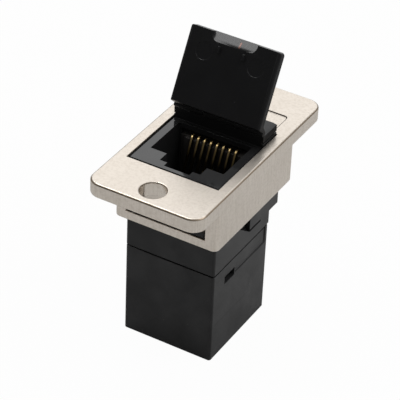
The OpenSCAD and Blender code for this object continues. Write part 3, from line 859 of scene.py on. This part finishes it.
@dataclass(frozen=True)
class EdgeBreak:
    """Rounds a CAD node's sharp edges as a casting or moulding has them."""

    width: float
    segments: int = 2
    least_angle: float = 35.0
    flat_angle: float = 1.0
    weld: float = 0.002 * MM
    face_weight: int = 100

    def apply(self, piece: bpy.types.Object) -> None:
        """Adds the modifiers.

        Args:
            piece: The CAD node's object.
        """
        joined = piece.modifiers.new("join_triangles", "WELD")
        joined.merge_threshold = self.weld
        flat = piece.modifiers.new("whole_faces", "DECIMATE")
        flat.decimate_type = "DISSOLVE"
        flat.angle_limit = math.radians(self.flat_angle)
        edge = piece.modifiers.new("edge_break", "BEVEL")
        edge.width = self.width
        edge.segments = self.segments
        edge.limit_method = "ANGLE"
        edge.angle_limit = math.radians(self.least_angle)
        edge.use_clamp_overlap = False
        normals = piece.modifiers.new("even_normals", "WEIGHTED_NORMAL")
        normals.weight = self.face_weight


NICKEL = SatinNickel(
    "satin_nickel", light=(0.74, 0.68, 0.61), dark=(0.69, 0.63, 0.56), smooth=0.33, rough=0.38,
    grain_scale=5200.0, grain_depth=0.0075 * MM)
BLACK = MouldedPlastic(
    "black_plastic", light=(0.0210, 0.0210, 0.0215), dark=(0.0110, 0.0110, 0.0114), smooth=0.07, rough=0.11,
    grain_scale=7000.0, grain_depth=0.0012 * MM,
    gloss_level=0.18, side_texture=0.28, side_sheen=0.18, polish=0.9, coat_rough=0.06,
    # seam and rim are bands of painted shade: the seam groove and the gap round the port face.
    seam=Band(-12.97 * MM, 0.25 * MM, 7.14 * MM, -1.57 * MM, 7.87 * MM),
    rim=Band(1.85 * MM, 0.28 * MM, 7.06 * MM, -1.04 * MM, 8.04 * MM, outside=1.0),
    raised=Ramp(-12.91 * MM, 15.04 * MM, 15.10 * MM))
LID = MouldedPlastic(
    "lid_plastic", light=(0.0105, 0.0105, 0.011), dark=(0.0085, 0.0085, 0.009), smooth=0.46, rough=0.52,
    grain_scale=7000.0, grain_depth=0.0016 * MM,
    gloss_level=0.11, polish=1.0, coat_rough=0.26,
    smear=Stroke(0.82 * MM, 14.72 * MM, -0.10, 0.18 * MM, 0.23 * MM))
INSERT = MouldedPlastic(
    "insert_plastic", light=(0.038, 0.034, 0.031), dark=(0.030, 0.027, 0.025), smooth=0.5, rough=0.6,
    grain_scale=7000.0, grain_depth=0.002 * MM)
# Gold on the bend, with painted shade on the legs and the flanks.
GOLD = GoldWithShadedLeg(
    "gold_plate", light=(0.93, 0.70, 0.33), dark=(0.78, 0.55, 0.23), smooth=0.34, rough=0.44,
    grain_scale=9000.0, grain_depth=0.0006 * MM)
STEEL = DrawnMetal(
    "pin_steel", light=(0.55, 0.55, 0.56), dark=(0.42, 0.42, 0.43), smooth=0.25, rough=0.36,
    grain_scale=9000.0, grain_depth=0.001 * MM)
BOARD = MouldedPlastic(
    "solder_mask", light=(0.015, 0.10, 0.055), dark=(0.012, 0.085, 0.045), smooth=0.3, rough=0.4,
    grain_scale=4000.0, grain_depth=0.001 * MM)


class Wardrobe:
    """Gives CAD nodes their finishes, and builds each material once."""

    def __init__(self) -> None:
        """Starts with no material built."""
        self.effects = Effects()
        self.built: dict[str, bpy.types.Material] = {}

    def dress(self, node: str, finish: Finish, edge: Optional[EdgeBreak] = None) -> None:
        """Puts a finish on a CAD node, and softens its edges.

        Args:
            node: The node's name.
            finish: Its finish.
            edge: How its edges are rounded, if they are.
        """
        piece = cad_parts[node]
        if finish.name not in self.built:
            self.built[finish.name] = finish.material(self.effects)
        piece.data.materials.clear()
        piece.data.materials.append(self.built[finish.name])
        if edge is not None:
            edge.apply(piece)
        LOG.info("%s: %s", piece.name, finish.name)


@dataclass
class FlangeCasting:
    """Cast flange with the well under it."""

    edge: EdgeBreak = EdgeBreak(0.12 * MM, segments=3)

    def dress(self, wardrobe: Wardrobe) -> None:
        """Plates the casting."""
        wardrobe.dress("metal_frame", NICKEL, self.edge)


@dataclass
class CouplerBody:
    """Front housing and rear shell of the snap-in coupler."""

    edge: EdgeBreak = EdgeBreak(0.06 * MM)

    def dress(self, wardrobe: Wardrobe) -> None:
        """Moulds both halves in black."""
        for name in ("front_housing", "rear_shell"):
            wardrobe.dress(name, BLACK, self.edge)


@dataclass
class ContactSet:
    """Sprung contacts of both ports, their carriers and the board between them."""

    count: int = 8
    edge: EdgeBreak = EdgeBreak(0.11 * MM)
    carrier_edge: EdgeBreak = EdgeBreak(0.03 * MM)

    def dress(self, wardrobe: Wardrobe) -> None:
        """Plates the contacts and colours what holds them.

        Args:
            wardrobe: Source of the finishes.
        """
        for end in ("front", "rear"):
            wardrobe.dress(f"{end}_carrier", INSERT, self.carrier_edge)
            for number in range(1, self.count + 1):
                wardrobe.dress(f"{end}_contact_{number}", GOLD, self.edge)
        wardrobe.dress("circuit_board", BOARD)


@dataclass
class HingedFlap:
    """Dust flap and the pin that it turns on."""

    edge: EdgeBreak = EdgeBreak(0.03 * MM)

    def dress(self, wardrobe: Wardrobe) -> None:
        """Moulds the flap in black and leaves the pin bright."""
        wardrobe.dress("dust_flap", LID, self.edge)
        wardrobe.dress("hinge_pin", STEEL)


@dataclass(frozen=True)
class Stand:
    """Place of a lamp or a camera, and what it looks at."""

    place: Place
    aim: Place
    roll: float = 0.0

    def hold(self, name: str, data: Union[bpy.types.Light, bpy.types.Camera]) -> bpy.types.Object:
        """Adds a lamp or a camera to the scene.

        Args:
            name: The object's name.
            data: The lamp or camera.

        Returns:
            The object.
        """
        way = (Vector(self.aim) - Vector(self.place)).to_track_quat("-Z", "Y")
        holder = bpy.data.objects.new(name, data)
        holder.location = self.place
        holder.rotation_mode = "QUATERNION"
        holder.rotation_quaternion = way @ Quaternion((0.0, 0.0, 1.0), math.radians(self.roll))
        bpy.context.scene.collection.objects.link(holder)
        return holder


@dataclass(frozen=True)
class Softbox:
    """A square lamp that points at the coupler."""

    name: str
    place: Place
    side: float
    power: float
    aim: Place = (0.0, 0.0, -0.005)

    def build(self) -> None:
        """Adds the lamp."""
        lamp = bpy.data.lights.new(self.name, "AREA")
        lamp.shape = "SQUARE"
        lamp.size = self.side
        lamp.energy = self.power
        Stand(self.place, self.aim).hold(self.name, lamp)


@dataclass
class Studio:
    """Camera, floor, lamps and the pale surroundings."""

    camera_stand: Stand = Stand((0.115402, -0.207847, 0.161777), (0.001189, -0.003610, -0.005357), roll=2.56)
    lens: float = 184.41
    sensor: float = 36.0
    sight: Span = (0.01, 10.0)
    floor_size: float = 3.0
    floor_colour: Colour = (0.60, 0.60, 0.60)
    floor_white: float = 0.97
    floor_shine: float = 0.08
    room_level: float = 0.38
    room_shine: float = 0.03
    room_bright: float = 0.75
    bright_way: Place = (-0.28, 0.70, 0.66)
    bright_span: Span = (0.55, 0.85)
    dim_share: float = 0.15
    dim_way: Place = (-0.40, -0.88, 0.26)
    dim_span: Span = (0.80, 0.96)
    lamps: tuple[Softbox, ...] = (
        Softbox("back_softbox", (-0.22, 0.38, 0.42), 0.60, 0.78),
        Softbox("left_softbox", (-0.26, -0.05, 0.60), 0.36, 1.40),
        Softbox("right_softbox", (0.40, 0.12, 0.42), 0.45, 1.60),
    )

    def build_camera(self) -> None:
        """Adds the camera where the photograph was taken from."""
        lens = bpy.data.cameras.new("photo_camera")
        lens.lens = self.lens
        lens.sensor_width = self.sensor
        lens.clip_start, lens.clip_end = self.sight
        bpy.context.scene.camera = self.camera_stand.hold("photo_camera", lens)

    @staticmethod
    def white_share(tree: Tree, seen: float, mirrored: float) -> Socket:
        """Finds how much plain white a ray meets.

        Args:
            tree: The floor's or the room's tree.
            seen: Share for rays from the camera.
            mirrored: Share for rays that a surface mirrors or lets through.

        Returns:
            The share's socket.
        """
        path = tree.add(Kind.LIGHT_PATH).outputs
        bounced = tree.math("ADD", path["Is Glossy Ray"], path["Is Transmission Ray"])
        direct = tree.math("MULTIPLY", path["Is Camera Ray"], seen)
        return tree.math("MULTIPLY_ADD", bounced, mirrored, direct)

    def build_floor(self) -> None:
        """Lays the floor under the coupler."""
        bpy.ops.mesh.primitive_plane_add(size=self.floor_size, location=(0.0, 0.0, CAD_BOX[0].z))
        floor = bpy.context.object
        floor.name = "floor"
        material = bpy.data.materials.new("pale_floor")
        tree = Tree.emptied(material)
        lit = tree.add(Kind.DIFFUSE, {"Color": self.floor_colour}).outputs[0]
        white = tree.add(Kind.EMISSION, {"Strength": WHITE}).outputs[0]
        share = self.white_share(tree, self.floor_white, self.floor_shine)
        mixed = tree.add(Kind.MIX_SHADER, {0: share, 1: lit, 2: white})
        tree.add(Kind.OUTPUT, {"Surface": mixed.outputs[0]})
        floor.data.materials.append(material)

    def build_room(self) -> None:
        """Surrounds the coupler with a room that is bright at its back and dim next to the camera."""
        world = bpy.data.worlds.new("studio")
        bpy.context.scene.world = world
        tree = Tree.emptied(world)
        way = tree.add(Kind.COORDINATES).outputs["Generated"]
        back = tree.dot(way, self.bright_way)
        front = tree.dot(way, self.dim_way)
        level = tree.spread(back, *self.bright_span, self.room_level, self.room_bright)
        dimmed = tree.math("MULTIPLY", level, tree.spread(front, *self.dim_span, 1.0, self.dim_share))
        room = tree.add(Kind.BACKGROUND, {"Strength": dimmed}).outputs[0]
        white = tree.add(Kind.BACKGROUND, {"Strength": WHITE}).outputs[0]
        share = self.white_share(tree, WHITE, self.room_shine)
        mixed = tree.add(Kind.MIX_SHADER, {0: share, 1: room, 2: white})
        tree.add(Kind.WORLD_OUTPUT, {"Surface": mixed.outputs[0]})

    def build(self) -> None:
        """Sets the studio up."""
        self.build_camera()
        self.build_floor()
        self.build_room()
        for lamp in self.lamps:
            lamp.build()
        bpy.context.scene.view_settings.view_transform = "Standard"
        LOG.info("studio: %d lamps", len(self.lamps))


def main() -> None:
    """Builds the studio and dresses each sub-assembly."""
    logging.basicConfig(level=logging.INFO, format="%(name)s: %(message)s")
    wardrobe = Wardrobe()
    Studio().build()
    for assembly in (FlangeCasting(), CouplerBody(), ContactSet(), HingedFlap()):
        assembly.dress(wardrobe)


if __name__ == "__main__":
    main()
